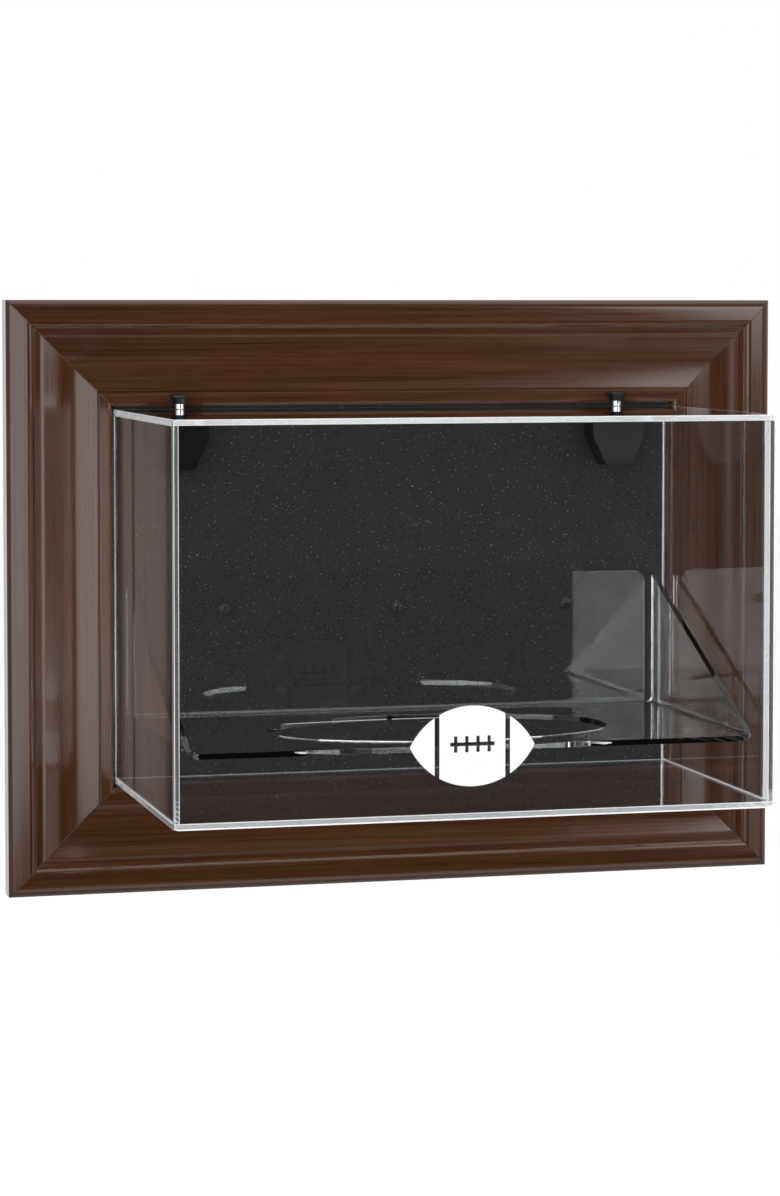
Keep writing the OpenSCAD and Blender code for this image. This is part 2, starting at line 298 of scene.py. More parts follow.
def ease(piece: Piece, arris: float, segments: int = 2, angle: float = 28) -> None:
    """Rounds a piece's sharp edges and shades the rest smooth.

    Args:
        piece: the object to finish.
        arris: the width of the rounding.
        segments: how many sides it has.
        angle: the least angle of an edge that is rounded, in degrees.
    """
    if arris:
        bevel = piece.modifiers.new("eased edges", "BEVEL")
        bevel.width = arris
        bevel.segments = segments
        bevel.limit_method = "ANGLE"
        bevel.angle_limit = math.radians(angle)
        bevel.miter_outer = "MITER_ARC"
    smooth(piece)


def smooth(piece: Piece, angle: float = 40) -> None:
    """Shades a piece smooth except at edges sharper than an angle, in degrees."""
    piece.data.shade_smooth()
    piece.data.set_sharp_from_angle(angle=math.radians(angle))
    weight = piece.modifiers.new("face weighted shading", "WEIGHTED_NORMAL")
    weight.keep_sharp = True


def bake_modifiers(piece: Piece) -> None:
    """Puts a piece's modifiers into its mesh and removes them."""
    bpy.context.view_layer.update()
    shown = piece.evaluated_get(bpy.context.evaluated_depsgraph_get())
    mesh = bpy.data.meshes.new_from_object(shown)
    piece.modifiers.clear()
    old, piece.data = piece.data, mesh
    mesh.name = piece.name
    bpy.data.meshes.remove(old)


def carve(piece: Piece, cutters: Sequence[Piece]) -> None:
    """Cuts other solids out of a piece.

    Args:
        piece: the piece to cut; its modifiers are put into its mesh.
        cutters: the solids to take away, which stay in the scene.
    """
    for cutter in cutters:
        cut = piece.modifiers.new("pocket", "BOOLEAN")
        cut.operation = "DIFFERENCE"
        cut.solver = "EXACT"
        cut.object = cutter
    bake_modifiers(piece)


def discard(pieces: Sequence[Piece]) -> None:
    """Removes helper objects from the scene."""
    for piece in pieces:
        bpy.data.meshes.remove(piece.data)


# ---------------------------------------------------------------- finishes


class Recipe:
    """A material as it is put together from nodes."""

    def __init__(self, name: str) -> None:
        """Starts an empty material.

        Args:
            name: the material's name.
        """
        self.material = bpy.data.materials.new(name)
        self.material.use_nodes = True
        self.tree = self.material.node_tree
        self.tree.nodes.clear()
        self.output = self.tree.nodes.new("ShaderNodeOutputMaterial")

    def add(self, kind: str, inputs: dict | None = None, **settings: object) -> bpy.types.Node:
        """Adds a node.

        Args:
            kind: the node's type, without its common prefix.
            inputs: what goes into its sockets, each a value or another node's output.
            settings: the node's own options.

        Returns:
            The node.
        """
        node = self.tree.nodes.new("ShaderNode" + kind)
        for key, value in settings.items():
            setattr(node, key, value)
        for key, value in (inputs or {}).items():
            if isinstance(value, Socket):
                self.tree.links.new(value, node.inputs[key])
            else:
                node.inputs[key].default_value = value
        return node

    def place(self, scale: Colour = (1, 1, 1), shift: Colour = (0, 0, 0)) -> Socket:
        """The point on the piece in its own axes, stretched by a scale and shifted."""
        point = self.add("TexCoord").outputs["Object"]
        return self.add("Mapping", {"Vector": point, "Scale": scale, "Location": shift}).outputs[0]

    def noise(self, where: Socket, scale: float, detail: float = 2, rough: float = 0.5) -> Socket:
        """Cloudy noise from 0 to 1, of so many spots a metre."""
        settings = {"Vector": where, "Scale": scale, "Detail": detail, "Roughness": rough}
        return self.add("TexNoise", settings).outputs["Fac"]

    def ramp(self, value: Socket, stops: Sequence[tuple[float, Colour]]) -> Socket:
        """Colours that follow a value, by stops of place and colour."""
        node = self.add("ValToRGB", {"Fac": value})
        band = node.color_ramp.elements
        while len(band) < len(stops):
            band.new(0.5)
        for element, (at, colour) in zip(band, stops):
            element.position = at
            element.color = (*colour, 1)
        return node.outputs["Color"]

    def span(self, value: Socket, start: float, end: float, low: float, high: float) -> Socket:
        """A value's stretch from start to end, spread over low to high and held there."""
        settings = {"Value": value, "From Min": start, "From Max": end}
        settings |= {"To Min": low, "To Max": high}
        return self.add("MapRange", settings).outputs["Result"]

    def mix(self, share: Socket | float, a: Socket | Colour, b: Socket | Colour) -> Socket:
        """Two colours mixed, with so much of the second."""
        node = self.add("Mix", data_type="RGBA")
        for socket, value in ((node.inputs[0], share), (node.inputs[6], a), (node.inputs[7], b)):
            if isinstance(value, Socket):
                self.tree.links.new(value, socket)
            else:
                socket.default_value = (*value, 1) if isinstance(value, tuple) else value
        return node.outputs[2]

    def math(self, how: str, a: Socket | float, b: Socket | float) -> Socket:
        """A sum, product or the like of two values."""
        return self.add("Math", {0: a, 1: b}, operation=how).outputs[0]

    def bump(self, height: Socket, distance: float, strength: float = 1.0) -> Socket:
        """Normals for a relief of this height, at most the distance deep."""
        settings = {"Height": height, "Distance": distance, "Strength": strength}
        return self.add("Bump", settings).outputs[0]

    def surface(self, inputs: dict) -> Socket:
        """A general surface shader with these inputs."""
        return self.add("BsdfPrincipled", inputs).outputs[0]

    def done(self, shader: Socket) -> Material:
        """Ends the material with its shader."""
        self.tree.links.new(shader, self.output.inputs["Surface"])
        return self.material


class Grain(Enum):
    """Which way the wood's grain runs: the pattern's stretch along X, Y and Z."""

    ACROSS = (0.012, 1.0, 1.0)
    UPRIGHT = (1.0, 1.0, 0.012)


@dataclass(frozen=True)
class Walnut:
    """Dark brown wood under a satin lacquer, with fine straight grain."""

    grain: Grain
    dark: Colour = (0.029, 0.0092, 0.0030)
    middle: Colour = (0.048, 0.0164, 0.0060)
    light: Colour = (0.070, 0.0262, 0.0110)

    def make(self) -> Material:
        """Broad bands, fine streaks and short dark pores, all drawn out along the grain.

        Returns:
            The material.
        """
        r = Recipe(f"walnut_{self.grain.name.lower()}")
        along = r.place(scale=self.grain.value)
        bands = r.noise(along, 130, detail=3, rough=0.55)
        streaks = r.noise(along, 760, detail=4, rough=0.7)
        shorter = tuple(3.0 * s if s < 1 else s for s in self.grain.value)
        pores = r.noise(r.place(scale=shorter), 1900, 2)
        tone = r.math("ADD", r.math("MULTIPLY", bands, 0.34), r.math("MULTIPLY", streaks, 0.66))
        stops = [(0.36, self.dark), (0.50, self.middle), (0.66, self.light)]
        pore = r.span(pores, 0.60, 0.70, 0.0, 0.55)
        colour = r.mix(pore, r.ramp(tone, stops), self.dark)
        relief = r.math("SUBTRACT", r.math("MULTIPLY", streaks, 0.5), pore)
        return r.done(
            r.surface(
                {
                    "Base Color": colour,
                    "Roughness": r.span(streaks, 0.3, 0.7, 0.12, 0.18),
                    "Normal": r.bump(relief, 0.003 * MM, 0.3),
                }
            )
        )


@dataclass(frozen=True)
class Suede:
    """Black napped cloth with scattered pale flecks that are painted glints."""

    nap: Colour = (0.0070, 0.0070, 0.0074)
    brushed: Colour = (0.016, 0.016, 0.0168)
    painted_glint: Colour = (0.15, 0.15, 0.155)

    def make(self) -> Material:
        """A short brushed nap in two tones, with painted glints: pale spots in the colour where
        single fibres would catch the light.

        Returns:
            The material.
        """
        r = Recipe("suede")
        where = r.place()
        patches = r.noise(where, 60, detail=3)
        fibres = r.noise(where, 1700, detail=3, rough=0.7)
        painted_glint_spots = r.noise(r.place(shift=(0.3, 0.1, 0.7)), 900, detail=1, rough=0.4)
        base = r.ramp(fibres, [(0.35, self.nap), (0.65, self.brushed)])
        base = r.mix(r.span(patches, 0.4, 0.7, 0.0, 0.4), base, self.brushed)
        # Painted glints: pale spots in the base colour that stand for fibres catching the light.
        colour = r.mix(r.span(painted_glint_spots, 0.685, 0.74, 0.0, 0.8), base, self.painted_glint)
        return r.done(
            r.surface(
                {
                    "Base Color": colour,
                    "Roughness": r.span(fibres, 0.3, 0.7, 0.75, 0.95),
                    "Normal": r.bump(fibres, 0.12 * MM, 0.8),
                    "Specular IOR Level": 0.12,
                    "Sheen Weight": 0.04,
                    "Sheen Roughness": 0.5,
                }
            )
        )


@dataclass(frozen=True)
class ClearSheet:
    """Clear acrylic sheet: polished faces that let lamps through."""

    name: str = "clear_acrylic"
    tint: Colour = (0.985, 0.992, 0.995)
    haze: Colour = (0.955, 0.965, 0.970)
    index: float = 1.49
    roughness: float = 0.0
    clearness: float = 1.0

    def make(self) -> Material:
        """Glass for what is seen, and plain see-through for rays on their way to a lamp.

        Returns:
            The material.
        """
        r = Recipe(self.name)
        smear = r.noise(r.place(), 22, detail=4, rough=0.6)
        colour = r.ramp(smear, [(0.35, self.tint), (0.75, self.haze)])
        glass = r.surface(
            {
                "Base Color": colour,
                "Roughness": self.roughness,
                "IOR": self.index,
                "Transmission Weight": self.clearness,
            }
        )
        through = r.add("BsdfTransparent", {"Color": (*self.haze, 1)}).outputs[0]
        path = r.add("LightPath").outputs["Is Shadow Ray"]
        return r.done(r.add("MixShader", {0: path, 1: glass, 2: through}).outputs[0])


@dataclass(frozen=True)
class MouldedPlastic:
    """Black moulded plastic with a fine spark-eroded grain."""

    base: Colour = (0.0030, 0.0030, 0.0032)
    worn: Colour = (0.0065, 0.0065, 0.0070)

    def make(self) -> Material:
        """Two near-black tones and a fine pebbled relief.

        Returns:
            The material.
        """
        r = Recipe("black_plastic")
        where = r.place()
        pebble = r.noise(where, 2600, detail=2, rough=0.6)
        wear = r.noise(where, 140, detail=4)
        return r.done(
            r.surface(
                {
                    "Base Color": r.ramp(wear, [(0.40, self.base), (0.72, self.worn)]),
                    "Roughness": r.span(pebble, 0.3, 0.7, 0.07, 0.12),
                    "Specular IOR Level": 0.3,
                    "Normal": r.bump(pebble, 0.004 * MM, 0.4),
                }
            )
        )


@dataclass(frozen=True)
class Metal:
    """Plated or machined metal, with a fine tool grain and handling marks."""

    name: str
    base: Colour
    dull: Colour
    smoothest: float
    roughest: float
    grain: Colour = (1.0, 1.0, 1.0)
    relief: float = 0.004 * MM

    def make(self) -> Material:
        """Cloudy dull patches over the plating, and a fine relief drawn along its grain.

        Returns:
            The material.
        """
        r = Recipe(self.name)
        patches = r.noise(r.place(), 260, detail=4, rough=0.6)
        lines = r.noise(r.place(scale=self.grain), 3200, detail=2)
        return r.done(
            r.surface(
                {
                    "Base Color": r.ramp(patches, [(0.38, self.base), (0.75, self.dull)]),
                    "Metallic": 1.0,
                    "Roughness": r.span(patches, 0.35, 0.7, self.smoothest, self.roughest),
                    "Normal": r.bump(lines, self.relief, 0.4),
                }
            )
        )


@dataclass(frozen=True)
class Fibreboard:
    """Raw brown fibreboard with darker and paler fibres."""

    pale: Colour = (0.40, 0.27, 0.16)
    brown: Colour = (0.26, 0.16, 0.085)
    speck: Colour = (0.12, 0.07, 0.04)

    def make(self) -> Material:
        """Short matted fibres over slow changes of tone.

        Returns:
            The material.
        """
        r = Recipe("fibreboard")
        where = r.place()
        fibres = r.noise(where, 900, detail=5, rough=0.75)
        clouds = r.noise(where, 25, detail=3)
        specks = r.noise(where, 420, detail=2)
        tone = r.math("ADD", r.math("MULTIPLY", fibres, 0.7), r.math("MULTIPLY", clouds, 0.3))
        colour = r.ramp(tone, [(0.38, self.brown), (0.62, self.pale)])
        colour = r.mix(r.span(specks, 0.66, 0.74, 0.0, 0.6), colour, self.speck)
        return r.done(
            r.surface(
                {
                    "Base Color": colour,
                    "Roughness": r.span(fibres, 0.3, 0.7, 0.72, 0.9),
                    "Normal": r.bump(fibres, 0.08 * MM, 0.6),
                }
            )
        )


@dataclass(frozen=True)
class ScreenPrint:
    """Opaque white ink, laid on through a mesh."""

    full: Colour = (0.92, 0.92, 0.92)
    thin: Colour = (0.87, 0.87, 0.88)

    def make(self) -> Material:
        """White ink with thin spots and a slight pull of the mesh.

        Returns:
            The material.
        """
        r = Recipe("white_print")
        where = r.place()
        cover = r.noise(where, 380, detail=3)
        mesh = r.noise(where, 2200, detail=1)
        return r.done(
            r.surface(
                {
                    "Base Color": r.ramp(cover, [(0.30, self.thin), (0.55, self.full)]),
                    "Roughness": r.span(mesh, 0.3, 0.7, 0.34, 0.5),
                    "Normal": r.bump(mesh, 0.01 * MM, 0.4),
                }
            )
        )


@dataclass
class Finishes:
    """Every finish of the case, made once."""

    wood_across: Material = field(default_factory=Walnut(Grain.ACROSS).make)
    wood_upright: Material = field(default_factory=Walnut(Grain.UPRIGHT).make)
    suede: Material = field(default_factory=Suede().make)
    acrylic: Material = field(default_factory=ClearSheet().make)
    shelf_acrylic: Material = field(default_factory=ClearSheet("shelf_acrylic").make)
    edge: Material = field(
        default_factory=ClearSheet(
            "acrylic_edge", (0.97, 0.98, 0.98), roughness=0.06, clearness=0.94
        ).make
    )
    glued_edge: Material = field(
        default_factory=ClearSheet(
            "glued_acrylic_edge", (0.97, 0.98, 0.98), roughness=0.12, clearness=0.74
        ).make
    )
    # The arrises are half white and diffuse: a painted highlight for the bright lines along the
    # sheets' edges.
    arris: Material = field(
        default_factory=ClearSheet(
            "acrylic_arris_painted_highlight", (0.97, 0.98, 0.98), roughness=0.2, clearness=0.5
        ).make
    )
    plastic: Material = field(default_factory=MouldedPlastic().make)
    board: Material = field(default_factory=Fibreboard().make)
    print_white: Material = field(default_factory=ScreenPrint().make)
    chrome: Material = field(
        default_factory=Metal("chrome", (0.78, 0.79, 0.81), (0.66, 0.67, 0.69), 0.05, 0.14).make
    )
    steel: Material = field(
        default_factory=Metal(
            "zinc_steel", (0.52, 0.53, 0.55), (0.36, 0.37, 0.39), 0.28, 0.48, (0.1, 1.0, 1.0)
        ).make
    )
    blackened: Material = field(
        default_factory=Metal(
            "blackened_steel", (0.040, 0.040, 0.043), (0.022, 0.022, 0.024), 0.26, 0.40
        ).make
    )
    brass: Material = field(
        default_factory=Metal(
            "brass", (0.78, 0.56, 0.24), (0.60, 0.41, 0.17), 0.2, 0.4, (1.0, 1.0, 8.0)
        ).make
    )


def dress(piece: Piece, *materials: Material) -> None:
    """Gives a piece its materials in place of any it has."""
    piece.data.materials.clear()
    for material in materials:
        piece.data.materials.append(material)


def dress_node(node: str, material: Material) -> None:
    """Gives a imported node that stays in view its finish."""
    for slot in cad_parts[node].material_slots:
        slot.material = material
    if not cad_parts[node].material_slots:
        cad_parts[node].data.materials.append(material)
    log.info("%s keeps its packed shape, finished in %s", node, material.name)


def settle(piece: Piece, body: str, slot: str, *nodes: str) -> Piece:
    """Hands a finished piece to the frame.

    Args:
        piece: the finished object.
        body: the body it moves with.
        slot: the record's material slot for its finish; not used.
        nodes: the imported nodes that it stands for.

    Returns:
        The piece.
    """
    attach(piece, body)
    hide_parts(*nodes)
    log.info("%s rides on %s and stands for %s", piece.name, body, ", ".join(nodes))
    return piece


# ---------------------------------------------------------------- the case


class Rail(Enum):
    """The frame's four lengths: which way is out, and which way is along."""

    TOP = ((0, 1), (1, 0))
    RIGHT = ((1, 0), (0, -1))
    BOTTOM = ((0, -1), (-1, 0))
    LEFT = ((-1, 0), (0, 1))


@dataclass
class WoodFrame:
    """The mitred moulding and what is let into its back."""

    finishes: Finishes
    face: float = 59.1 * MM
    edge: float = 13.5 * MM
    crest: float = 11.6 * MM
    slant: float = 1.1 * MM
    hump_width: float = 14.6 * MM
    hump_end: float = 15.8 * MM
    hump_height: float = 17 * MM
    fall_turn: float = math.radians(75)
    step_width: float = 4.5 * MM
    step_lip: float = 0.8 * MM
    step_top: float = 1.9 * MM
    step_foot: float = 2.4 * MM
    cove_gap: float = 1.6 * MM
    bead_width: float = 7.6 * MM
    bead_height: float = 15.5 * MM
    bead_radius: float = 3 * MM
    dish: float = 2.4 * MM
    groove_width: float = 1.1 * MM
    groove_depth: float = 0.9 * MM
    groove_slope: float = 0.3 * MM
    rebate_width: float = 8 * MM
    rebate_height: float = 9 * MM
    arris: float = 0.22 * MM
    head_low: float = -5 * MM
    head_high: float = 8 * MM
    head_depth: float = 8 * MM
    head_inset: float = 1.5 * MM

    def section(self) -> Array:
        """The moulding's cross-section, from its outer edge round to its rebate.

        With u the share of the way left to the crest, the outer hump lies below it by a
        slant times u and by the rest of its rise times the fifth power of u, and it falls
        behind the crest by part of an ellipse. The field behind the step is dished by
        half a sine wave, and the bead's inner edge is a quarter circle.

        Returns:
            Points of distance in from the outer edge and height off the wall.
        """
        field_start = self.hump_width + self.step_width + self.cove_gap
        field_end = self.face - self.bead_width - self.groove_width
        groove = self.bead_height - self.groove_depth
        u = np.linspace(1, 0, 19) ** 1.3
        bulge = self.hump_height - self.edge - self.slant
        rise = np.stack(
            [self.crest * (1 - u), self.hump_height - self.slant * u - bulge * u**5], axis=1
        )
        last = self.fall_turn
        turn = np.linspace(0, last, 8)[1:]
        fall = np.stack(
            [
                self.crest + (self.hump_width - self.crest) * np.sin(turn) / np.sin(last),
                self.hump_height
                - (self.hump_height - self.hump_end) * (1 - np.cos(turn)) / (1 - np.cos(last)),
            ],
            axis=1,
        )
        step = [
            (self.hump_width + self.step_lip, self.hump_height - self.step_top),
            (self.hump_width + self.step_width, self.hump_height - self.step_foot),
        ]
        t = np.linspace(0, 1, 25)
        cove = np.stack(
            [
                field_start + (field_end - field_start) * t,
                self.bead_height - self.dish * np.sin(np.pi * t),
            ],
            axis=1,
        )
        channel = [
            (field_end + self.groove_slope, groove),
            (field_end + self.groove_width - self.groove_slope, groove),
            (field_end + self.groove_width, self.bead_height),
        ]
        corner = np.linspace(0, np.pi / 2, 11)
        bead = np.stack(
            [
                self.face - self.bead_radius * (1 - np.sin(corner)),
                self.bead_height - self.bead_radius * (1 - np.cos(corner)),
            ],
            axis=1,
        )
        rebate = [
            (self.face, self.rebate_height),
            (self.face - self.rebate_width, self.rebate_height),
            (self.face - self.rebate_width, 0.0),
        ]
        return np.concatenate([[(0.0, 0.0)], rise, fall, step, cove, channel, bead, rebate])

    def carry(self, rail: Rail, name: str) -> Piece:
        """Carries the section along one side of the frame, mitred at both ends.

        A point w in from the outer edge runs from w before one corner to w before the
        next, which is a cut at 45 degrees, and both ends of the run are one ring each.

        Args:
            rail: which side.
            name: the piece's name.

        Returns:
            The length of moulding.
        """
        low, high = CAD_BOX
        middle = np.array([(low.x + high.x) / 2, (low.z + high.z) / 2])
        half = np.array([(high.x - low.x) / 2, (high.z - low.z) / 2])
        out, along = (np.array(direction, float) for direction in rail.value)
        w, h = self.section().T
        flat = middle + out * (abs(out) @ half - w)[:, None]
        run = (abs(along) @ half - w)[:, None] * along
        rings = np.stack([flat - run, flat + run])
        return skin(name, Plane.WALL.place(rings[..., 0], rings[..., 1], h))

    def pockets(self) -> list[Piece]:
        """The solids that the wood is cut away for.

        They are the nails, the points, and two round-ended pockets for each keyhole
        plate: its own shallow recess, and the deeper room behind it for a screw's head.

        Returns:
            The cutters, which are discarded after use.
        """
        cutters = [merged_copy(n, "cutter") for n in ("corner_v_nails", "backing_points")]
        for side in ("left", "right"):
            low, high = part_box(f"{side}_keyhole_plate")
            x, half = (low.x + high.x) / 2, (high.x - low.x) / 2
            end = high.z - half
            recess = (-end, end, half, high.y - low.y)
            head_room = (self.head_low, self.head_high, half - self.head_inset, self.head_depth)
            for bottom, top, radius, depth in (recess, head_room):
                corners = [
                    (x - radius, bottom - radius), (x + radius, bottom - radius),
                    (x + radius, top + radius), (x - radius, top + radius),
                ]
                outline = rounded(corners, radius * 0.999, 12)
                cutters.append(plate("cutter", outline, -1 * MM, depth, 0.01 * MM, Plane.WALL, 1))
        return cutters

    def build(self) -> None:
        """Makes the four lengths, cuts their pockets and finishes the hardware."""
        names = {
            Rail.TOP: "top_rail",
            Rail.RIGHT: "right_stile",
            Rail.BOTTOM: "bottom_rail",
            Rail.LEFT: "left_stile",
        }
        cutters = self.pockets()
        for rail, node in names.items():
            wood = self.carry(rail, f"{node}_moulding")
            ease(wood, self.arris)
            wood.modifiers.remove(wood.modifiers["face weighted shading"])
            carve(wood, cutters)
            smooth(wood, 32)
            across = rail in (Rail.TOP, Rail.BOTTOM)
            dress(wood, self.finishes.wood_across if across else self.finishes.wood_upright)
            settle(wood, "frame", "walnut", node)
        discard(cutters)
        for node in ("corner_v_nails", "backing_points", "hanger_screws"):
            dress_node(node, self.finishes.steel)
        for side in ("left", "right"):
            dress_node(f"{side}_keyhole_plate", self.finishes.steel)


@dataclass
class Backing:
    """The board and the suede-covered sheet that the frame holds."""

    finishes: Finishes

    def build(self) -> None:
        """Finishes the two sheets and the board's screws."""
        dress_node("backing_board", self.finishes.board)
        dress_node("suede_panel", self.finishes.suede)
        dress_node("bracket_screws", self.finishes.steel)


@dataclass
class ClampBrackets:
    """The two black blocks under the cover's top sheet, with their brass inserts."""

    finishes: Finishes
    arris: float = 0.7 * MM

    def build(self) -> None:
        """Eases the blocks' edges and finishes the inserts."""
        for side in ("left", "right"):
            block = merged_copy(f"{side}_bracket", f"{side}_clamp_block")
            ease(block, self.arris, 3)
            dress(block, self.finishes.plastic)
            settle(block, "frame", "black_plastic", f"{side}_bracket")
            dress_node(f"{side}_insert", self.finishes.brass)


@dataclass
class BallShelf:
    """The clear folded sheet that the ball sits in, and its three screws."""

    finishes: Finishes
    arris: float = 0.35 * MM
    air: float = 0.15 * MM

    def build(self) -> None:
        """Eases the sheet's sawn edges and dresses its screws.

        The back of the sheet comes forward by a film of air, because acrylic that
        touches cloth all over would look wet.
        """
        sheet = merged_copy("ball_shelf", "folded_ball_shelf")
        points = np.empty(len(sheet.data.vertices) * 3, np.float32)
        sheet.data.vertices.foreach_get("co", points)
        depth = points[1::3]
        depth[:] = np.minimum(depth, depth.max() - self.air)
        sheet.data.vertices.foreach_set("co", points)
        ease(sheet, self.arris, 2, 50)
        dress(sheet, self.finishes.shelf_acrylic)
        settle(sheet, "frame", "clear_acrylic", "ball_shelf")
        screws = merged_copy("shelf_screws", "shelf_dome_screws")
        ease(screws, 0.08 * MM, 2, 50)
        dress(screws, self.finishes.blackened)
        settle(screws, "frame", "steel", "shelf_screws")


@dataclass
class ClearCover:
    """The five clear sheets glued into an open-backed box, and the emblem on its front."""

    finishes: Finishes
    corner: float = 2 * MM
    small_corner: float = 0.2 * MM
    arris: float = 0.45 * MM
    rounding: int = 3
    glue: float = 0.04 * MM
    notch: float = 2.4 * MM

    def edged(self, piece: Piece, node: str, edge: Material) -> None:
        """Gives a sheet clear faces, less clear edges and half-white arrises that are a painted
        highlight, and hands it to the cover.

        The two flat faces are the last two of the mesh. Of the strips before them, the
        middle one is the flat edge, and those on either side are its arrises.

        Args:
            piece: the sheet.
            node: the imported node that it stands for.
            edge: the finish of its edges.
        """
        # The third finish, on the arrises, is a painted highlight.
        dress(piece, self.finishes.acrylic, edge, self.finishes.arris)
        count = 2 * self.rounding + 1
        strips = np.full((count, (len(piece.data.polygons) - 2) // count), 2)
        strips[self.rounding] = 1
        index = np.concatenate([strips.ravel(), [0, 0]]).astype(np.int32)
        piece.data.polygons.foreach_set("material_index", index)
        smooth(piece, 50)
        settle(piece, "cover", "clear_acrylic", node)

    def front(self) -> None:
        """The front sheet, which closes the other four."""
        low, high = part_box("cover_front_panel")
        corners = [(low.x, low.z), (high.x, low.z), (high.x, high.z), (low.x, high.z)]
        outline = rounded(corners, self.corner, 8)
        piece = plate("cover_front_sheet", outline, -high.y, -low.y, self.arris, Plane.WALL)
        self.edged(piece, "cover_front_panel", self.finishes.edge)

    def lid(self, which: str) -> None:
        """The top sheet with its two slots for the studs, or the plain bottom sheet.

        Args:
            which: top or bottom.
        """
        low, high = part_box(f"cover_{which}_panel")
        back, front = high.y, low.y + self.glue
        corners = [(low.x, back), (low.x, front), (high.x, front), (high.x, back)]
        outline = rounded(corners, self.small_corner, 2)
        if which == "top":
            outline = self.notched(low.x, high.x, front, back)
        piece = plate(f"cover_{which}_sheet", outline, low.z, high.z, self.arris, Plane.LEVEL)
        self.edged(piece, f"cover_{which}_panel", self.finishes.glued_edge)

    def notched(self, left: float, right: float, front: float, back: float) -> Array:
        """The top sheet's outline, with two slots that end in half circles.

        Args:
            left: the sheet's left side.
            right: its right side.
            front: its front edge.
            back: its back edge.

        Returns:
            The outline's points, anticlockwise.
        """
        turn = np.linspace(0, -np.pi, 17)
        slots = []
        for node in ("right_stud", "left_stud"):
            low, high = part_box(node)
            x, y = (low.x + high.x) / 2, (low.y + high.y) / 2
            arc = np.stack([x + self.notch * np.cos(turn), y + self.notch * np.sin(turn)], axis=1)
            slots += [[(x + self.notch, back)], arc, [(x - self.notch, back)]]
        ends = [(left, back), (left, front), (right, front), (right, back)]
        return np.concatenate([ends, *slots])

    def side(self, which: str) -> None:
        """A side sheet, between the top and the bottom ones.

        Args:
            which: left or right.
        """
        low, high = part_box(f"cover_{which}_panel")
        front, bottom, top = low.y + self.glue, low.z + self.glue, high.z - self.glue
        corners = [(front, bottom), (high.y, bottom), (high.y, top), (front, top)]
        outline = rounded(corners, self.small_corner, 2)
        piece = plate(f"cover_{which}_sheet", outline, low.x, high.x, self.arris, Plane.SIDE)
        self.edged(piece, f"cover_{which}_panel", self.finishes.edge)

    def build(self) -> None:
        """Makes the five sheets and finishes the emblem."""
        self.front()
        for which in ("top", "bottom"):
            self.lid(which)
        for which in ("left", "right"):
            self.side(which)
        dress_node("front_emblem", self.finishes.print_white)


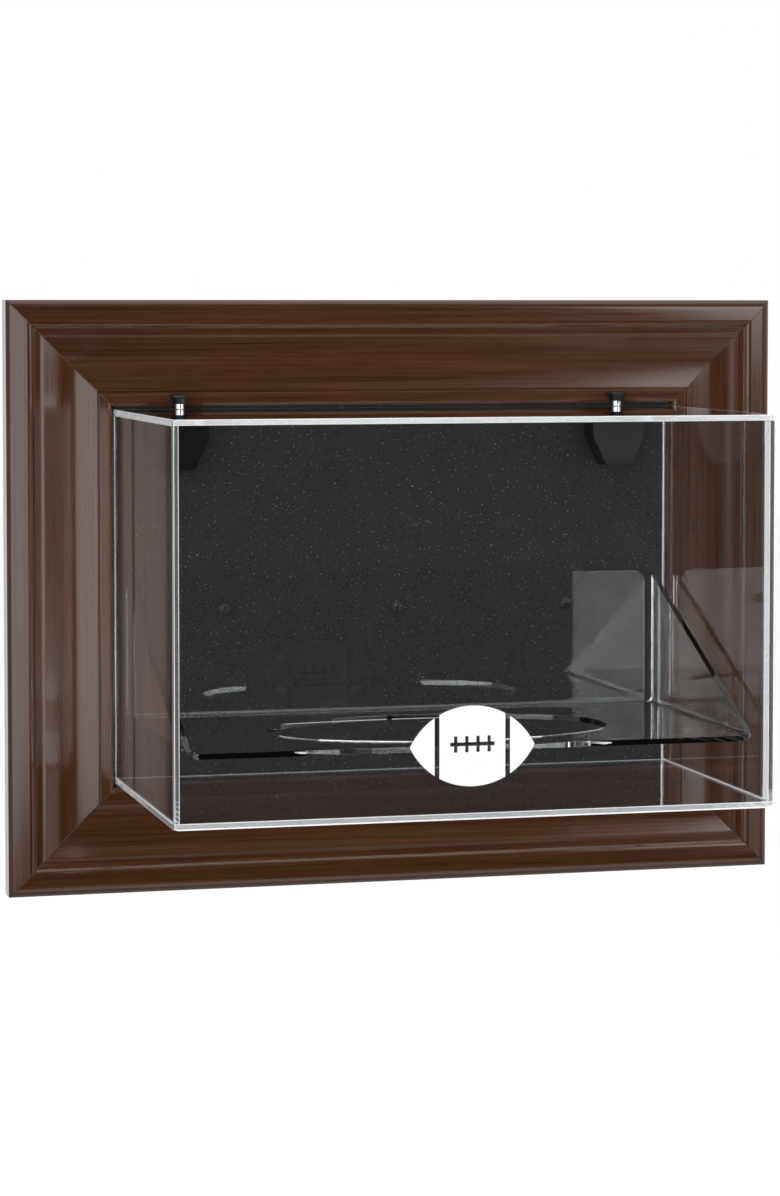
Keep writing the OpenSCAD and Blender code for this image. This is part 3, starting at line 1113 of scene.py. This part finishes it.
@dataclass
class Thumbscrew:
    """One thumbscrew: a fluted knob on a threaded stud, and the collar under it."""

    finishes: Finishes
    side: str
    pitch: float = 0.7 * MM
    thread: float = 0.22 * MM
    flutes: int = 12
    flute_radius: float = 1.3 * MM
    flute_stand: float = 0.9 * MM
    around: int = 144
    stud_rings: int = 240
    stud_sides: int = 32
    lead_in: float = 1.2 * MM
    run_out: float = 5 * MM
    tip: float = 0.6 * MM
    collar_bore: float = 2.05 * MM
    collar_ease: float = 0.25 * MM

    def __post_init__(self) -> None:
        """Finds the screw's axis."""
        low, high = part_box(f"{self.side}_stud")
        self.axis = ((low.x + high.x) / 2, (low.y + high.y) / 2)

    def knob(self) -> None:
        """The knob: a cone widening to a rounded rim, with grip flutes.

        The turned profile's radius is capped, all round, by the near side of a circle of
        the flute's radius that stands just off the rim: its distance from the axis at an
        angle a from the flute's middle is d cos a - sqrt(f^2 - (d sin a)^2).
        """
        low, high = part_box(f"{self.side}_knob")
        top, tall = (high.x - low.x) / 2, high.z - low.z
        rim = 0.8 * MM
        turn = np.linspace(0, np.pi / 2, 7)
        r = [0.3 * MM, 3.55 * MM, 3.75 * MM, top - 0.45 * MM]
        z = [0.0, 0.0, 0.2 * MM, tall - 2 * rim - 0.35 * MM]
        r += [top - 0.1 * MM, top, top]
        z += [tall - 2 * rim - 0.05 * MM, tall - 2 * rim + 0.15 * MM, tall - rim]
        r += list(top - rim + rim * np.cos(turn[1:]))
        z += list(tall - rim + rim * np.sin(turn[1:]))
        r += [2.7 * MM, 2.45 * MM, 2.2 * MM, 0.3 * MM]
        z += [tall, tall - 0.1 * MM, tall - 0.5 * MM, tall - 0.5 * MM]
        sector = 2 * np.pi / self.flutes
        angle = np.arange(self.around) * 2 * np.pi / self.around
        near = np.abs((angle + sector / 2) % sector - sector / 2)
        distance = top + self.flute_stand
        under = np.maximum(self.flute_radius**2 - (distance * np.sin(near)) ** 2, 0)
        met = distance * np.sin(near) < self.flute_radius
        cap = np.where(met, distance * np.cos(near) - np.sqrt(under), 2 * top)
        radius = np.minimum(np.array(r)[:, None], cap[None])
        height = np.broadcast_to((low.z + np.array(z))[:, None], radius.shape)
        piece = turned(f"{self.side}_fluted_knob", self.axis, radius, height, self.around)
        smooth(piece, 35)
        dress(piece, self.finishes.plastic)
        settle(piece, f"{self.side}_thumbscrew", "black_plastic", f"{self.side}_knob")

    def stud(self) -> None:
        """The stud: a rod whose radius rises and falls as a thread winds up it.

        At height z and angle a the thread's phase is z / pitch - a / turn; the depth is
        a triangle wave of that phase, and fades to nothing at both ends.
        """
        low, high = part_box(f"{self.side}_stud")
        rod = (high.x - low.x) / 2
        height = np.linspace(low.z, high.z, self.stud_rings)
        angle = np.arange(self.stud_sides) * 2 * np.pi / self.stud_sides
        phase = (height[:, None] / self.pitch - angle[None] / (2 * np.pi)) % 1
        wave = np.abs(2 * phase - 1)
        start = np.clip((height - low.z) / self.lead_in, 0, 1)
        fade = start * np.clip((high.z - height) / self.run_out, 0, 1)
        tip = self.tip * np.clip(1 - (height - low.z) / self.tip, 0, 1)
        radius = rod - tip[:, None] - self.thread * wave * np.sqrt(fade)[:, None]
        grid = np.broadcast_to(height[:, None], radius.shape)
        piece = turned(f"{self.side}_threaded_stud", self.axis, radius, grid, self.stud_sides)
        smooth(piece, 60)
        dress(piece, self.finishes.chrome)
        settle(piece, f"{self.side}_thumbscrew", "chrome", f"{self.side}_stud")

    def collar(self) -> None:
        """The plated collar: a short tube with eased rims."""
        low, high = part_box(f"{self.side}_collar")
        outer, inner = (high.x - low.x) / 2, self.collar_bore
        corners = [(inner, low.z), (outer, low.z), (outer, high.z), (inner, high.z)]
        radius, height = rounded(corners, self.collar_ease, 5).T
        name = f"{self.side}_plated_collar"
        piece = turned(name, self.axis, radius, height, 64, closed=True)
        smooth(piece, 50)
        dress(piece, self.finishes.chrome)
        settle(piece, f"{self.side}_collar", "chrome", f"{self.side}_collar")

    def build(self) -> None:
        """Makes the three pieces."""
        self.knob()
        self.stud()
        self.collar()


# ---------------------------------------------------------------- studio


@dataclass
class Studio:
    """A pale floor, soft lamps, a white surround and the camera.

    Each lamp is its name, azimuth, height, reach, size and power, as lamp() takes them.
    """

    camera_place: Colour = (-0.4770, -1.8477, 0.0218)
    tilt: float = 87.058
    yaw: float = -14.442
    lens: float = 100.94
    shift: float = -0.1003
    floor_drop: float = 0.35
    floor_radius: float = 9.0
    floor_glow: float = 0.22
    lamps: tuple[tuple[str, float, float, float, tuple[float, float], float], ...] = (
        ("left_softbox", -30, 12, 2.2, (2.2, 2.0), 40),
        ("right_softbox", 39.5, 19.5, 2.2, (1.05, 1.3), 18),
        ("low_right_fill", 39.5, -14, 2.2, (1.05, 0.7), 2.0),
        ("low_fill", 5, -52, 1.8, (1.8, 0.7), 4),
        ("top_lamp", 0, 78, 1.6, (1.8, 0.9), 6),
    )

    def camera(self) -> None:
        """Stands the camera where the case fills the frame from its left."""
        data = bpy.data.cameras.new("camera")
        data.lens = self.lens
        data.sensor_width = 36
        data.shift_y = self.shift
        data.clip_start = 0.05
        camera = bpy.data.objects.new("camera", data)
        camera.location = self.camera_place
        camera.rotation_euler = (math.radians(self.tilt), 0, math.radians(self.yaw))
        bpy.context.scene.collection.objects.link(camera)
        bpy.context.scene.camera = camera

    def lamp(
        self,
        name: str,
        azimuth: float,
        height: float,
        reach: float,
        size: tuple[float, float],
        power: float,
    ) -> None:
        """A soft rectangular lamp turned to the middle of the case.

        Args:
            name: the lamp's name.
            azimuth: degrees to the right of straight in front of the case.
            height: degrees above the case's middle.
            reach: its distance from the case's middle.
            size: its width and height.
            power: its power in watts.
        """
        data = bpy.data.lights.new(name, "AREA")
        data.shape = "RECTANGLE"
        data.size, data.size_y = size
        data.energy = power
        lamp = bpy.data.objects.new(name, data)
        turn, rise = math.radians(azimuth), math.radians(height)
        flat = math.cos(rise)
        away = Vector((math.sin(turn) * flat, -math.cos(turn) * flat, math.sin(rise)))
        lamp.location = (CAD_BOX[0] + CAD_BOX[1]) / 2 + away * reach
        lamp.rotation_euler = (-away).to_track_quat("-Z", "Y").to_euler()
        bpy.context.scene.collection.objects.link(lamp)

    def floor(self) -> None:
        """A round pale floor below the case, left out of reflections and bounced light."""
        angle = np.arange(96) * 2 * np.pi / 96
        rim = self.floor_radius * np.stack([np.cos(angle), np.sin(angle)], axis=1)
        top = CAD_BOX[0].z - self.floor_drop
        disc = plate("floor", rim, top - 20 * MM, top, 5 * MM, Plane.LEVEL)
        r = Recipe("pale_floor")
        tone = r.noise(r.place(), 3, detail=2)
        paint = r.ramp(tone, [(0.3, (0.86, 0.86, 0.86)), (0.7, (0.90, 0.90, 0.90))])
        path = r.add("LightPath").outputs
        first = r.math("LESS_THAN", r.math("ADD", path["Diffuse Depth"], path["Glossy Depth"]), 0.5)
        white = r.surface(
            {"Base Color": paint, "Roughness": 0.85, "Emission Strength": self.floor_glow}
        )
        clear = r.add("BsdfTransparent").outputs[0]
        dress(disc, r.done(r.add("MixShader", {0: first, 1: clear, 2: white}).outputs[0]))

    def surround(self) -> None:
        """A white surround, darker towards the viewer, as a studio's open side is.

        Only bounced and reflected rays meet the darker side: what is seen directly, or
        through clear sheet, is plain white.
        """
        world = bpy.data.worlds.new("surround")
        world.use_nodes = True
        tree = world.node_tree
        tree.nodes.clear()

        def node(kind: str) -> bpy.types.Node:
            """Adds a node of this kind."""
            return tree.nodes.new("ShaderNode" + kind)

        where, split, dim = node("TexCoord"), node("SeparateXYZ"), node("MapRange")
        path, bounces, seen, strength = node("LightPath"), node("Math"), node("Math"), node("Mix")
        background, output = node("Background"), node("OutputWorld")
        link = tree.links.new
        link(where.outputs["Generated"], split.inputs[0])
        link(split.outputs["Y"], dim.inputs["Value"])
        fall = {"From Min": -0.85, "From Max": 0.2, "To Min": 0.03, "To Max": 1.1}
        for key, value in fall.items():
            dim.inputs[key].default_value = value
        link(path.outputs["Diffuse Depth"], bounces.inputs[0])
        link(path.outputs["Glossy Depth"], bounces.inputs[1])
        seen.operation = "LESS_THAN"
        seen.inputs[1].default_value = 0.5
        link(bounces.outputs[0], seen.inputs[0])
        link(seen.outputs[0], strength.inputs[0])
        link(dim.outputs["Result"], strength.inputs[2])
        strength.inputs[3].default_value = 1.0
        background.inputs["Color"].default_value = (1, 1, 1, 1)
        link(strength.outputs[0], background.inputs["Strength"])
        link(background.outputs[0], output.inputs["Surface"])
        bpy.context.scene.world = world

    def build(self) -> None:
        """Sets up everything round the case."""
        self.camera()
        self.floor()
        self.surround()
        for lamp in self.lamps:
            self.lamp(*lamp)
        bpy.context.scene.view_settings.view_transform = "Standard"


def main() -> None:
    """Builds the case's sub-assemblies in order, then the studio."""
    logging.basicConfig(level=logging.INFO, format="%(message)s")
    finishes = Finishes()
    WoodFrame(finishes).build()
    Backing(finishes).build()
    ClampBrackets(finishes).build()
    BallShelf(finishes).build()
    ClearCover(finishes).build()
    for side in ("left", "right"):
        Thumbscrew(finishes, side).build()
    Studio().build()


if __name__ == "__main__":
    main()
